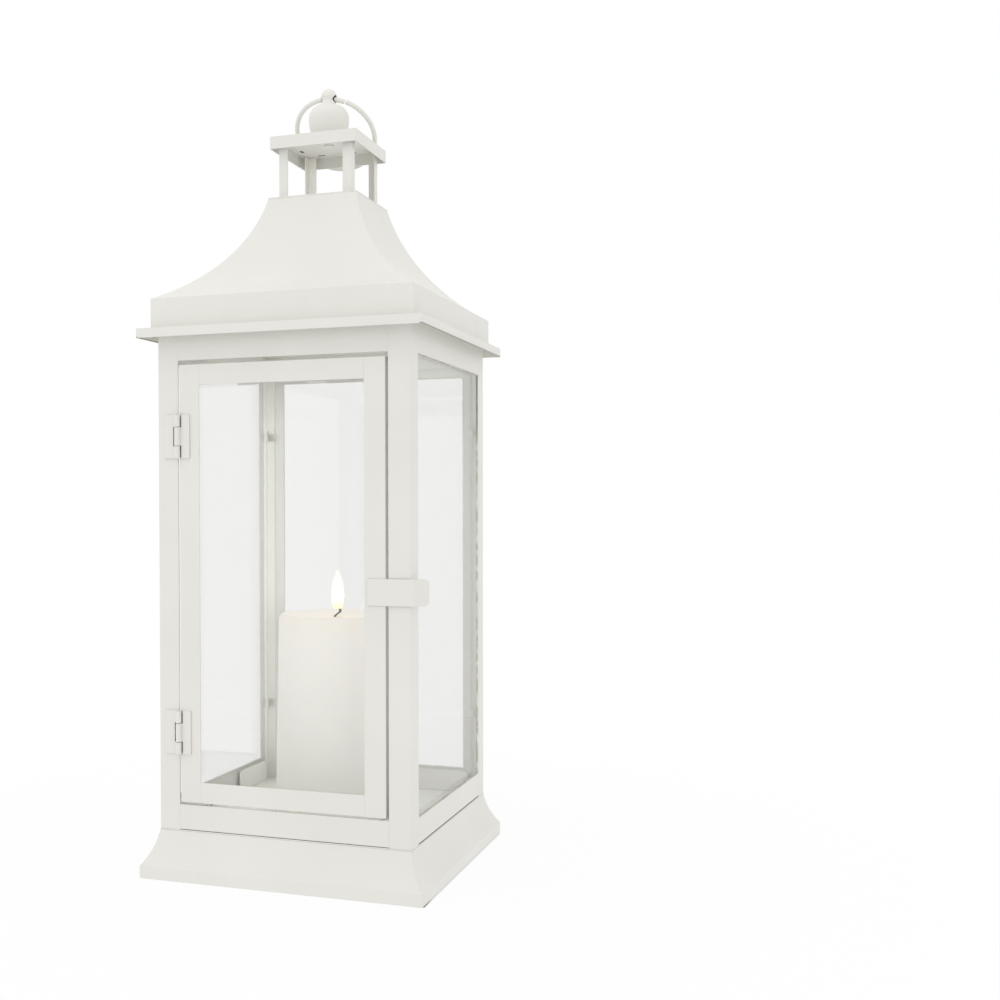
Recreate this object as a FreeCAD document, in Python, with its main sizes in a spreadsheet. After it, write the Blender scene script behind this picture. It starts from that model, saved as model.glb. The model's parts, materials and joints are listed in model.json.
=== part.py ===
import FreeCAD, Part
import os
import re

import Sketcher
from FreeCAD import Placement, Rotation, Vector

# Hurricane candle lantern of painted sheet metal: millimetres, Z up, front towards -Y.
# The origin is the middle of the square that the base stands on.

# Driving dimensions, in millimetres and degrees
SIZES = {
    # Sheet metal, glass and clearances
    "sheet": 0.8,
    "glass": 2.0,
    "seat_gap": 0.3,
    "fit_gap": 0.2,
    # Base skirt and floor
    "base_width": 178.5,
    "lip_height": 7.3,
    "skirt_height": 28.2,
    "skirt_radius": 45.0,
    "hem_width": 6.0,
    # Body frame
    "body_width": 160.0,
    "post_leg": 13.5,
    "post_height": 300.5,
    "bottom_rail_height": 15.5,
    "rail_gap": 0.4,
    "top_rail_height": 18.5,
    # Fixed panes, the clips that hold them and the sealant round them
    "pane_overlap": 6.5,
    "seal_width": 1.0,
    "seal_depth": 0.6,
    "clip_height": 5.0,
    "clip_lip": 2.0,
    "clip_inset": 36.0,
    "tab_length": 44.0,
    "tab_inset": 3.0,
    "tab_height": 14.0,
    "tab_corner": 3.0,
    # Eave and roof
    "eave_overhang": 9.8,
    "eave_rim": 5.6,
    "eave_opening": 120.0,
    "fascia_width": 166.0,
    "fascia_height": 18.3,
    "roof_rise": 66.9,
    "roof_radius": 104.3,
    "roof_top_width": 58.6,
    "roof_opening": 36.0,
    # Chimney and cap
    "chimney_width": 48.6,
    "chimney_leg": 6.0,
    "chimney_height": 37.2,
    "cap_width": 57.6,
    "cap_rim": 7.6,
    # Finial and its screw
    "foot_radius": 7.5,
    "bulb_radius": 12.9,
    "bulb_height": 15.5,
    "shoulder_radius": 8.5,
    "shoulder_rise": 7.9,
    "neck_radius": 4.3,
    "neck_rise": 4.2,
    "knob_radius": 5.1,
    "knob_rise": 2.0,
    "knob_flat": 1.0,
    "dome_rise": 5.2,
    "screw_radius": 2.0,
    "screw_length": 10.0,
    "screw_head_radius": 2.9,
    "screw_head_height": 0.9,
    # Carry ring
    "ring_radius": 26.0,
    "ring_wire": 3.0,
    "ring_hole_radius": 2.6,
    "ring_axis_rise": 0.6,
    "ring_slide": 2.6,
    # Door frame
    "door_proud": 0.4,
    "hinge_side_gap": 1.1,
    "latch_side_gap": 1.5,
    "door_top_gap": 2.4,
    "door_bottom_gap": 1.4,
    "stile_width": 13.0,
    "door_rail_width": 12.3,
    "door_return": 5.0,
    "door_clip_width": 12.0,
    "door_clip_place": 22.0,
    "top_clip_drop": 12.6,
    "bottom_clip_drop": 10.4,
    # Hinges
    "hinge_height": 26.0,
    "middle_knuckle": 11.0,
    "lower_hinge_inset": 43.5,
    "upper_hinge_inset": 45.4,
    "leaf": 1.0,
    "frame_leaf_reach": 9.5,
    "door_leaf_reach": 7.5,
    "barrel_radius": 1.7,
    "barrel_gap": 0.5,
    "barrel_notch": 1.6,
    "pin_radius": 0.8,
    "pin_stub": 0.5,
    # Latch strip
    "latch_height": 15.4,
    "latch_drop": 2.6,
    "latch_overlap": 11.0,
    "latch_corner_gap": 0.7,
    "latch_bend_radius": 1.5,
    "latch_tab": 9.5,
    "latch_angle": 48.0,
    "latch_round": 3.0,
    # Candle
    "candle_offset": 5.0,
    "candle_radius": 37.7,
    "candle_flare": 2.4,
    "candle_height": 126.0,
    "wax_wall": 6.0,
    "wax_top": 28.0,
    "wax_edge": 3.0,
    "wax_rim": 6.0,
    "dish_depth": 2.6,
    "wick_radius": 1.1,
    "wick_height": 5.6,
    "flame_foot_radius": 2.7,
    "flame_radius": 4.2,
    "flame_belly": 8.2,
    "flame_taper": 16.4,
    "flame_tip_radius": 0.4,
    "led_radius": 1.5,
    "led_height": 5.0,
    # Battery case inside the candle
    "flange_height": 4.0,
    "tower_radius": 19.0,
    "tower_roof": 3.0,
    "stem_radius": 3.2,
    "board_radius": 15.0,
    "board_thickness": 1.6,
    "cover_length": 40.0,
    "cover_width": 24.0,
    "cover_thickness": 1.6,
    "cell_radius": 7.25,
    "cell_length": 50.5,
    "cell_spacing": 17.0,
    "contact": 0.4,
    "contact_width": 8.0,
    "contact_radius": 5.0,
    # Switch under the candle
    "slider_length": 6.4,
    "slider_width": 4.0,
    "slider_travel": 3.0,
    "slider_place": 25.5,
    "slider_recess": 0.5,
    "slider_lip": 1.5,
}

# Places worked out from the driving dimensions
BODY_HALF = "(body_width / 2)"
OPENING_HALF = "(body_width / 2 - post_leg)"
PANE_HALF = "(body_width / 2 - post_leg + pane_overlap)"
PANE_BACK = "(body_width / 2 - sheet - glass)"
FLOOR_TOP = "(skirt_height + sheet)"
POST_TOP = f"({FLOOR_TOP} + post_height)"
RAIL_FOOT = f"({FLOOR_TOP} + rail_gap)"
OPENING_BOTTOM = f"({FLOOR_TOP} + bottom_rail_height)"
OPENING_TOP = f"({POST_TOP} - top_rail_height)"
EAVE_TOP = f"({POST_TOP} + sheet)"
FASCIA_TOP = f"({EAVE_TOP} + fascia_height)"
ROOF_TOP = f"({FASCIA_TOP} + roof_rise)"
CHIMNEY_FOOT = f"({ROOF_TOP} + sheet)"
CHIMNEY_TOP = f"({CHIMNEY_FOOT} + chimney_height)"
CAP_TOP = f"({CHIMNEY_TOP} + sheet)"
SHOULDER_HEIGHT = "(bulb_height + shoulder_rise)"
NECK_HEIGHT = f"({SHOULDER_HEIGHT} + neck_rise)"
KNOB_HEIGHT = f"({NECK_HEIGHT} + knob_rise)"
FINIAL_HEIGHT = f"({KNOB_HEIGHT} + dome_rise)"
RING_AXIS = f"({CAP_TOP} + {NECK_HEIGHT} + ring_axis_rise)"
DOOR_LEFT = f"(hinge_side_gap - {OPENING_HALF})"
DOOR_RIGHT = f"({OPENING_HALF} - latch_side_gap)"
DOOR_BOTTOM = f"({OPENING_BOTTOM} + door_bottom_gap)"
DOOR_TOP = f"({OPENING_TOP} - door_top_gap)"
DOOR_FACE = f"(-{BODY_HALF} - door_proud)"
DOOR_GLASS_BACK = f"({DOOR_FACE} + sheet + glass)"
HINGE_X = f"(hinge_side_gap / 2 - {OPENING_HALF})"
HINGE_Y = f"({DOOR_FACE} - barrel_radius - seat_gap)"
CANDLE_FOOT = f"({FLOOR_TOP} + seat_gap)"
CAVITY_RADIUS = "(candle_radius - wax_wall)"
CELLS_FOOT = "(cover_thickness + contact)"
CELLS_TOP = f"({CELLS_FOOT} + cell_length)"
TOWER_TOP = f"({CELLS_TOP} + contact + tower_roof)"
STEM_TOP = "(candle_height - dish_depth)"
FLAME_FOOT = f"({CANDLE_FOOT} + {STEM_TOP} + wick_height)"

SIDES = {"front": 0, "right": 90, "back": 180, "left": 270}
CORNERS = {"front_left": 0, "front_right": 90, "back_right": 180, "back_left": 270}

doc = FreeCAD.newDocument("candle_lantern")
sizes = doc.addObject("Spreadsheet::Sheet", "Sizes")
for row, (name, size) in enumerate(SIZES.items(), start=1):
    sizes.set(f"A{row}", name)
    sizes.set(f"B{row}", str(size))
    sizes.setAlias(f"B{row}", name)
doc.recompute()

pieces = []


def bound(text):
    """Turn the size names in an expression into references to the sheet."""
    return re.sub(
        r"[a-z_]+",
        lambda word: f"Sizes.{word.group()}" if word.group() in SIZES else word.group(),
        str(text),
    )


def number(text):
    """Give an expression's present value."""
    value = sizes.evalExpression(bound(text))
    return float(getattr(value, "Value", value))


def tie(item, prop, text):
    """Bind a property to an expression on the sheet."""
    item.setExpression(prop, bound(text))


def finished(item, label):
    """Name a finished piece and keep it for writing."""
    item.Label = label
    pieces.append(item)
    return item


def place(item, x="0", y="0", z="0", turn=0):
    """Turn a piece about the vertical axis and tie its place to the sheet."""
    item.Placement = Placement(Vector(), Rotation(Vector(0, 0, 1), turn))
    for axis, text in zip("xyz", (x, y, z)):
        tie(item, f"Placement.Base.{axis}", text)


# Sketches


def arc_between(start, end, radius, bend):
    """Make the arc of less than half a turn that bends left or right from start to end."""
    chord = end - start
    left = Vector(-chord.y, chord.x, 0).normalize()
    reach = (radius**2 - (chord.Length / 2) ** 2) ** 0.5
    centre = (start + end) / 2 + left * (reach if bend == "left" else -reach)
    first, last = (start, end) if bend == "left" else (end, start)
    circle = Part.Circle(centre, Vector(0, 0, 1), radius)
    return Part.ArcOfCircle(circle, circle.parameter(first), circle.parameter(last))


def pin(sketch, edge, end, x, y):
    """Hold a sketch point at a place given from the sketch's origin."""
    for kind, text in (("DistanceX", x), ("DistanceY", y)):
        rule = sketch.addConstraint(Sketcher.Constraint(kind, -1, 1, edge, end, number(text)))
        tie(sketch, f"Constraints[{rule}]", text)


def fix_radius(sketch, edge, text):
    """Hold the radius of an arc or circle."""
    rule = sketch.addConstraint(Sketcher.Constraint("Radius", edge, number(text)))
    tie(sketch, f"Constraints[{rule}]", text)


def outline(sketch, corners):
    """Draw a closed outline of (x, y) corners, or (x, y, radius, bend) where an arc arrives."""
    points = [Vector(number(corner[0]), number(corner[1]), 0) for corner in corners]
    runs = []
    for index, corner in enumerate(corners):
        start, end = points[index - 1], points[index]
        if len(corner) == 2:
            runs.append((sketch.addGeometry(Part.LineSegment(start, end)), 1, 2))
            continue
        radius, bend = corner[2:]
        edge = sketch.addGeometry(arc_between(start, end, number(radius), bend))
        runs.append((edge, 1, 2) if bend == "left" else (edge, 2, 1))
        fix_radius(sketch, edge, radius)
    for index, (edge, first, last) in enumerate(runs):
        before, _, before_last = runs[index - 1]
        sketch.addConstraint(Sketcher.Constraint("Coincident", before, before_last, edge, first))
        pin(sketch, edge, last, corners[index][0], corners[index][1])


def rectangle(low, high):
    """Give the corners of a rectangle."""
    return [(low[0], low[1]), (high[0], low[1]), (high[0], high[1]), (low[0], high[1])]


def rounded_top(low, high, radius):
    """Give the corners of a rectangle whose two upper corners are round."""
    return [
        (low[0], low[1]),
        (high[0], low[1]),
        (high[0], f"{high[1]} - {radius}"),
        (f"{high[0]} - {radius}", high[1], radius, "left"),
        (f"{low[0]} + {radius}", high[1]),
        (low[0], f"{high[1]} - {radius}", radius, "left"),
    ]


def quarter(across, along):
    """Give the radius of an arc that starts square to its 'across' step."""
    return f"(({across})^2 + ({along})^2) / (2 * ({across}))"


# Bodies made from sketches


def new_body(label):
    """Start a body."""
    return finished(doc.addObject("PartDesign::Body", label), label)


def body_sketch(body, plane, *outlines):
    """Draw closed outlines on one of a body's own planes."""
    sketch = body.newObject("Sketcher::SketchObject", f"{body.Name}_sketch")
    planes = [item for item in body.Origin.OriginFeatures if item.Role == plane]
    sketch.AttachmentSupport = [(planes[0], "")]
    sketch.MapMode = "FlatFace"
    for corners in outlines:
        outline(sketch, corners)
    return sketch


def pad(body, sketch, length, side="One side"):
    """Raise a sketch into a solid."""
    feature = body.newObject("PartDesign::Pad", f"{body.Name}_pad")
    feature.Profile = sketch
    feature.SideType = side
    tie(feature, "Length", length)
    return feature


def cut_through(body, sketch):
    """Cut a sketch through the whole body, both ways."""
    feature = body.newObject("PartDesign::Pocket", f"{body.Name}_cut")
    feature.Profile = sketch
    feature.Type = "ThroughAll"
    feature.SideType = "Symmetric"
    return feature


def revolve(body, corners):
    """Turn an outline of (radius, height) corners about the vertical axis."""
    sketch = body_sketch(body, "XZ_Plane", corners)
    feature = body.newObject("PartDesign::Revolution", f"{body.Name}_turning")
    feature.Profile = sketch
    feature.ReferenceAxis = (sketch, ["V_Axis"])
    feature.Angle = 360
    return feature


# Solids made from primitives


def box(low, high):
    """Make a box between two corners."""
    item = doc.addObject("Part::Box", "Block")
    for prop, start, end in zip(("Length", "Width", "Height"), low, high):
        tie(item, prop, f"({end}) - ({start})")
    place(item, *low)
    return item


def cylinder(radius, foot, height):
    """Make an upright cylinder on the middle of its foot."""
    item = doc.addObject("Part::Cylinder", "Rod")
    tie(item, "Radius", radius)
    tie(item, "Height", height)
    place(item, *foot)
    return item


def joined(items):
    """Fuse several solids into one."""
    if len(items) == 1:
        return items[0]
    item = doc.addObject("Part::MultiFuse", "Joined")
    item.Shapes = items
    return item


def cut(base, tools):
    """Cut tools out of a solid."""
    item = doc.addObject("Part::Cut", "Cut")
    item.Base = base
    item.Tool = joined(tools)
    return item


def group(items):
    """Hold separate solids as one piece."""
    item = doc.addObject("Part::Compound", "Group")
    item.Links = items
    return item


def extruded(outlines, length, along):
    """Draw outlines on the upright or the level plane and raise them along a direction."""
    sketch = doc.addObject("Sketcher::SketchObject", "Outline")
    if along.y:
        sketch.Placement = Placement(Vector(), Rotation(Vector(1, 0, 0), 90))
    for corners in outlines:
        outline(sketch, corners)
    item = doc.addObject("Part::Extrusion", "Raised")
    item.Base = sketch
    item.DirMode = "Custom"
    item.Dir = along
    item.Solid = True
    tie(item, "LengthFwd", length)
    return item


# Sheet-metal forms that repeat round the lantern


def cove_panel(label, turn, foot_half, top_half, foot, shoulder, top, radius):
    """Bend one side of a hollow moulding: hem, upright band and inward cove, mitred at both ends."""
    body = new_body(label)
    profile = [
        (f"-{foot_half}", foot),
        (f"-{foot_half}", shoulder),
        (f"-{top_half}", top, radius, "left"),
        (f"sheet - {top_half}", top),
        (f"sheet - {top_half}", f"{top} - sheet"),
        (f"sheet - {foot_half}", f"{shoulder} - sheet", radius, "right"),
        (f"sheet - {foot_half}", f"{foot} + sheet"),
        (f"hem_width - {foot_half}", f"{foot} + sheet"),
        (f"hem_width - {foot_half}", foot),
    ]
    pad(body, body_sketch(body, "YZ_Plane", profile), f"2 * {foot_half}", "Symmetric")
    far = f"(2 * {foot_half})"
    outside = [("0", "0"), (far, f"-{far}"), (far, far), (f"-{far}", far), (f"-{far}", f"-{far}")]
    cut_through(body, body_sketch(body, "XY_Plane", outside))
    place(body, turn=turn)


def angle_post(label, turn, half, leg, foot, height):
    """Stand an L-section post on one corner of a square."""
    body = new_body(label)
    section = [
        (f"-{half}", f"-{half}"),
        (f"{leg} - {half}", f"-{half}"),
        (f"{leg} - {half}", f"sheet - {half}"),
        (f"sheet - {half}", f"sheet - {half}"),
        (f"sheet - {half}", f"{leg} - {half}"),
        (f"-{half}", f"{leg} - {half}"),
    ]
    pad(body, body_sketch(body, "XY_Plane", section), height)
    place(body, z=foot, turn=turn)


def angle_rail(label, turn, face, depth, flange, tip, length):
    """Lay an L-section rail: its face from tip to flange height, its flange turned inwards there."""
    body = new_body(label)
    inward = "sheet" if number(tip) > number(flange) else "-sheet"
    section = [
        (face, tip),
        (f"{face} + sheet", tip),
        (f"{face} + sheet", f"{flange} + {inward}"),
        (f"{face} + {depth}", f"{flange} + {inward}"),
        (f"{face} + {depth}", flange),
        (face, flange),
    ]
    pad(body, body_sketch(body, "YZ_Plane", section), length, "Symmetric")
    place(body, turn=turn)
    return body


def tray(half, rim, top, holes):
    """Make a shallow square tray, open below, with holes."""
    foot = f"({top} - {rim})"
    outer = box((f"-{half}", f"-{half}", foot), (half, half, top))
    wall = f"({half} - sheet)"
    hollow = box((f"-{wall}", f"-{wall}", foot), (wall, wall, f"{top} - sheet"))
    return cut(outer, [hollow] + holes)


# Base and body frame


def build_base():
    """Build the four skirt panels and the floor."""
    for side, turn in SIDES.items():
        cove_panel(f"base_skirt_{side}", turn, "(base_width / 2)", BODY_HALF,
                   "0", "lip_height", "skirt_height", "skirt_radius")
    floor = box((f"-{BODY_HALF}", f"-{BODY_HALF}", "skirt_height"), (BODY_HALF, BODY_HALF, FLOOR_TOP))
    finished(floor, "floor_plate")


def build_frame():
    """Build the corner posts and the rails between them."""
    for corner, turn in CORNERS.items():
        angle_post(f"corner_post_{corner}", turn, BODY_HALF, "post_leg", FLOOR_TOP, "post_height")
    seat = "(sheet + glass)"
    for side, turn in SIDES.items():
        angle_rail(f"bottom_rail_{side}", turn, f"-{BODY_HALF}", seat, RAIL_FOOT, OPENING_BOTTOM,
                   f"2 * {OPENING_HALF}")
        angle_rail(f"top_rail_{side}", turn, f"-{BODY_HALF}", seat, POST_TOP, OPENING_TOP,
                   f"2 * {OPENING_HALF}")


def clip_section(hand):
    """Give the Z-section of a clip that holds a pane's edge against a post, on one hand."""
    post_face = f"(sheet - {BODY_HALF})"
    lip_back = f"(-{PANE_BACK} + sheet)"
    edge = f"({PANE_HALF} + fit_gap)"
    far = f"({BODY_HALF} - 2 * sheet - 2 * fit_gap)"
    corners = [
        (far, post_face),
        (far, f"{post_face} + sheet"),
        (f"{edge} + sheet", f"{post_face} + sheet"),
        (f"{edge} + sheet", lip_back),
        (f"{PANE_HALF} - clip_lip", lip_back),
        (f"{PANE_HALF} - clip_lip", f"-{PANE_BACK}"),
        (edge, f"-{PANE_BACK}"),
        (edge, post_face),
    ]
    return [(f"{hand} * ({x})", y) for x, y in corners]


def build_panes():
    """Build the three fixed panes, the clips on the posts, the tabs on the floor and the sealant."""
    pane_foot = f"({RAIL_FOOT} + sheet)"
    pane_face = f"({BODY_HALF} - sheet)"
    tab_end = f"({PANE_HALF} - tab_inset)"
    tab_start = f"({tab_end} - tab_length)"
    tab_top = f"({FLOOR_TOP} + tab_height)"
    clip_levels = (f"{OPENING_BOTTOM} + clip_inset", f"{OPENING_TOP} - clip_inset - clip_height")
    seals = []
    for side, across, along in (("right", "1", "0"), ("back", "0", "1"), ("left", "-1", "0")):
        turn = SIDES[side]
        pane = new_body(f"pane_{side}")
        section = rectangle((f"-{PANE_HALF}", f"sheet - {BODY_HALF}"), (PANE_HALF, f"-{PANE_BACK}"))
        pad(pane, body_sketch(pane, "XY_Plane", section), f"{OPENING_TOP} + pane_overlap - {pane_foot}")
        place(pane, z=pane_foot, turn=turn)

        holders = []
        for level in clip_levels:
            clips = extruded([clip_section("1"), clip_section("-1")], "clip_height", Vector(0, 0, 1))
            place(clips, z=level, turn=turn)
            holders.append(clips)
        tabs = extruded(
            [
                rounded_top((tab_start, FLOOR_TOP), (tab_end, tab_top), "tab_corner"),
                rounded_top((f"-{tab_end}", FLOOR_TOP), (f"-{tab_start}", tab_top), "tab_corner"),
            ],
            "sheet",
            Vector(0, 1, 0),
        )
        place(tabs, f"{across} * {PANE_BACK}", f"{along} * {PANE_BACK}", turn=turn)
        finished(group(holders + [tabs]), f"pane_clips_{side}")

        seal = extruded(
            [
                rectangle((f"-{OPENING_HALF}", OPENING_BOTTOM), (OPENING_HALF, OPENING_TOP)),
                rectangle((f"seal_width - {OPENING_HALF}", f"{OPENING_BOTTOM} + seal_width"),
                          (f"{OPENING_HALF} - seal_width", f"{OPENING_TOP} - seal_width")),
            ],
            "seal_depth",
            Vector(0, -1, 0),
        )
        place(seal, f"{across} * {pane_face}", f"{along} * {pane_face}", turn=turn)
        seals.append(seal)
    finished(group(seals), "pane_seals")


# Roof, chimney, finial and ring


def build_roof():
    """Build the eave, the four roof panels and the plate that closes their top."""
    half = f"({BODY_HALF} + eave_overhang)"
    way_up = "(eave_opening / 2)"
    hole = box((f"-{way_up}", f"-{way_up}", f"{EAVE_TOP} - eave_rim"), (way_up, way_up, EAVE_TOP))
    finished(tray(half, "eave_rim", EAVE_TOP, [hole]), "eave_plate")
    for side, turn in SIDES.items():
        cove_panel(f"roof_panel_{side}", turn, "(fascia_width / 2)", "(roof_top_width / 2)",
                   EAVE_TOP, FASCIA_TOP, ROOF_TOP, "roof_radius")
    top = "(roof_top_width / 2)"
    flue = "(roof_opening / 2)"
    plate = box((f"-{top}", f"-{top}", ROOF_TOP), (top, top, CHIMNEY_FOOT))
    opening = box((f"-{flue}", f"-{flue}", ROOF_TOP), (flue, flue, CHIMNEY_FOOT))
    finished(cut(plate, [opening]), "roof_top_plate")


def build_chimney():
    """Build the chimney posts, the cap, the finial and the screw that holds it."""
    for corner, turn in CORNERS.items():
        angle_post(f"chimney_post_{corner}", turn, "(chimney_width / 2)", "chimney_leg",
                   CHIMNEY_FOOT, "chimney_height")
    screw_hole = cylinder("screw_radius + fit_gap", ("0", "0", CHIMNEY_TOP), "sheet")
    finished(tray("(cap_width / 2)", "cap_rim", CAP_TOP, [screw_hole]), "chimney_cap")

    finial = new_body("finial")
    bore = "(screw_radius + fit_gap / 2)"
    bore_top = "(screw_length + fit_gap)"
    revolve(finial, [
        (bore, "0"),
        ("foot_radius", "0"),
        ("bulb_radius", "bulb_height", quarter("bulb_radius - foot_radius", "bulb_height"), "left"),
        ("shoulder_radius", SHOULDER_HEIGHT,
         quarter("bulb_radius - shoulder_radius", "shoulder_rise"), "left"),
        ("neck_radius", NECK_HEIGHT, quarter("shoulder_radius - neck_radius", "neck_rise"), "right"),
        ("knob_radius", KNOB_HEIGHT),
        ("knob_flat", FINIAL_HEIGHT, quarter("knob_radius - knob_flat", "dome_rise"), "left"),
        ("0", FINIAL_HEIGHT),
        ("0", bore_top),
        (bore, bore_top),
    ])
    eye = body_sketch(finial, "YZ_Plane")
    rim = eye.addGeometry(Part.Circle(Vector(), Vector(0, 0, 1), number("ring_hole_radius")))
    fix_radius(eye, rim, "ring_hole_radius")
    pin(eye, rim, 3, "0", f"{NECK_HEIGHT} + ring_axis_rise")
    cut_through(finial, eye)
    place(finial, z=CAP_TOP)

    screw = new_body("finial_screw")
    revolve(screw, [
        ("0", "-screw_head_height"),
        ("screw_head_radius", "-screw_head_height"),
        ("screw_head_radius", "0"),
        ("screw_radius", "0"),
        ("screw_radius", "sheet + screw_length"),
        ("0", "sheet + screw_length"),
    ])
    place(screw, z=CHIMNEY_TOP)


def build_ring():
    """Build the carry ring, slid to the left in its hole and leaning back on the cap's rear edge."""
    edge = "(cap_width / 2)"
    drop = f"({NECK_HEIGHT} + ring_axis_rise)"
    lean = f"(atan({drop} / {edge}) - asin((ring_wire / 2 + seat_gap) / hypot({drop}; {edge})))"
    reach = "(ring_radius - (neck_radius^2 + ring_slide^2) / (2 * ring_radius))"
    ring = doc.addObject("Part::Torus", "carry_ring")
    tie(ring, "Radius1", "ring_radius")
    tie(ring, "Radius2", "ring_wire / 2")
    ring.Placement = Placement(Vector(), Rotation(Vector(1, 0, 0), -1))
    tie(ring, "Placement.Rotation.Angle", f"-{lean}")
    tie(ring, "Placement.Base.x", "-ring_slide")
    tie(ring, "Placement.Base.y", f"{reach} * cos({lean})")
    tie(ring, "Placement.Base.z", f"{RING_AXIS} - {reach} * sin({lean})")
    finished(ring, "carry_ring")


# Door, hinges and latch


def build_door():
    """Build the door's stiles, rails, pane, clips and latch strip."""
    height = f"{DOOR_TOP} - {DOOR_BOTTOM}"
    for side, edge, inward in (("hinge", DOOR_LEFT, "1"), ("latch", DOOR_RIGHT, "-1")):
        stile = new_body(f"door_stile_{side}")
        section = [
            (edge, DOOR_FACE),
            (f"{edge} + {inward} * stile_width", DOOR_FACE),
            (f"{edge} + {inward} * stile_width", f"{DOOR_FACE} + sheet"),
            (f"{edge} + {inward} * sheet", f"{DOOR_FACE} + sheet"),
            (f"{edge} + {inward} * sheet", f"{DOOR_FACE} + door_return"),
            (edge, f"{DOOR_FACE} + door_return"),
        ]
        pad(stile, body_sketch(stile, "XY_Plane", section), height)
        place(stile, z=DOOR_BOTTOM)

    middle = f"({DOOR_LEFT} + {DOOR_RIGHT}) / 2"
    span = f"{DOOR_RIGHT} - {DOOR_LEFT} - 2 * stile_width"
    for side, flange, tip in (
        ("bottom", DOOR_BOTTOM, f"({DOOR_BOTTOM} + door_rail_width)"),
        ("top", DOOR_TOP, f"({DOOR_TOP} - door_rail_width)"),
    ):
        rail = angle_rail(f"door_rail_{side}", 0, DOOR_FACE, "door_return", flange, tip, span)
        place(rail, x=middle)

    pane = box(
        (f"{DOOR_LEFT} + sheet + fit_gap", f"{DOOR_FACE} + sheet", f"{DOOR_BOTTOM} + sheet"),
        (f"{DOOR_RIGHT} - sheet - fit_gap", DOOR_GLASS_BACK, f"{DOOR_TOP} - sheet - fit_gap"),
    )
    finished(pane, "door_pane")

    clips = []
    for flange, inward, clip_drop in (
        (f"({DOOR_BOTTOM} + sheet)", "1", "bottom_clip_drop"),
        (f"({DOOR_TOP} - sheet)", "-1", "top_clip_drop"),
    ):
        for hand in ("-1", "1"):
            start = f"({middle} + {hand} * door_clip_place - door_clip_width / 2)"
            end = f"({start} + door_clip_width)"
            levels = (flange, f"({flange} + {inward} * {clip_drop})")
            low, high = levels if inward == "1" else reversed(levels)
            lip = box((start, DOOR_GLASS_BACK, low), (end, f"{DOOR_GLASS_BACK} + sheet", high))
            levels = (flange, f"({flange} + {inward} * sheet)")
            low, high = levels if inward == "1" else reversed(levels)
            foot = box((start, DOOR_GLASS_BACK, low), (end, f"{DOOR_FACE} + door_return", high))
            clips.append(joined([lip, foot]))
    finished(group(clips), "door_pane_clips")


def build_latch():
    """Build the latch strip, bent back past the corner post."""
    strip = new_body("latch_strip")
    bend_x = f"({BODY_HALF} + latch_corner_gap)"
    bend_y = f"({DOOR_FACE} + latch_bend_radius)"
    outer = "(latch_bend_radius + sheet)"
    across = "sin(latch_angle)"
    along = "cos(latch_angle)"
    section = [
        (f"{DOOR_RIGHT} - latch_overlap", DOOR_FACE),
        (f"{DOOR_RIGHT} - latch_overlap", f"{DOOR_FACE} - sheet"),
        (bend_x, f"{DOOR_FACE} - sheet"),
        (f"{bend_x} + {outer} * {across}", f"{bend_y} - {outer} * {along}", outer, "left"),
        (f"{bend_x} + {outer} * {across} + latch_tab * {along}",
         f"{bend_y} - {outer} * {along} + latch_tab * {across}"),
        (f"{bend_x} + latch_bend_radius * {across} + latch_tab * {along}",
         f"{bend_y} - latch_bend_radius * {along} + latch_tab * {across}"),
        (f"{bend_x} + latch_bend_radius * {across}",
         f"{bend_y} - latch_bend_radius * {along}"),
        (bend_x, DOOR_FACE, "latch_bend_radius", "right"),
    ]
    raised = pad(strip, body_sketch(strip, "XY_Plane", section), "latch_height")
    doc.recompute()
    far = max(vertex.X for vertex in raised.Shape.Vertexes) - number("sheet")
    ends = [
        f"Edge{index}"
        for index, edge in enumerate(raised.Shape.Edges, start=1)
        if edge.CenterOfMass.x > far and abs(edge.Length - number("sheet")) < number("fit_gap")
    ]
    rounding = strip.newObject("PartDesign::Fillet", "latch_strip_rounding")
    rounding.Base = (raised, ends)
    tie(rounding, "Radius", "latch_round")
    place(strip, z=f"({DOOR_BOTTOM} + {DOOR_TOP} - latch_height) / 2 - latch_drop")


def hinge_leaf(label, level, side, spans):
    """Build one hinge leaf: a plate on its face, curled into knuckles over the given spans."""
    if side == "frame":
        near, tip, curl = "-barrel_radius - barrel_notch", "-frame_leaf_reach", "-barrel_radius"
        face = f"-{BODY_HALF}"
    else:
        near, tip, curl = "barrel_radius + barrel_gap", "door_leaf_reach", "barrel_radius"
        face = DOOR_FACE
    half = "hinge_height / 2"

    def block(first, last, front, low, high):
        start, end = (first, last) if number(first) < number(last) else (last, first)
        return box((f"{HINGE_X} + {start}", front, f"{level} + {low}"),
                   (f"{HINGE_X} + {end}", face, f"{level} + {high}"))

    solids = [block(near, tip, f"{face} - leaf", f"-{half}", half)]
    for low, high in spans:
        solids.append(block("0", near, f"{face} - leaf", low, high))
        solids.append(block("0", curl, HINGE_Y, low, high))
        solids.append(cylinder("barrel_radius", (HINGE_X, HINGE_Y, f"{level} + {low}"),
                               f"({high}) - ({low})"))
    bore = cylinder("pin_radius + fit_gap", (HINGE_X, HINGE_Y, f"{level} - {half}"), "hinge_height")
    finished(cut(joined(solids), [bore]), label)


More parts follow.
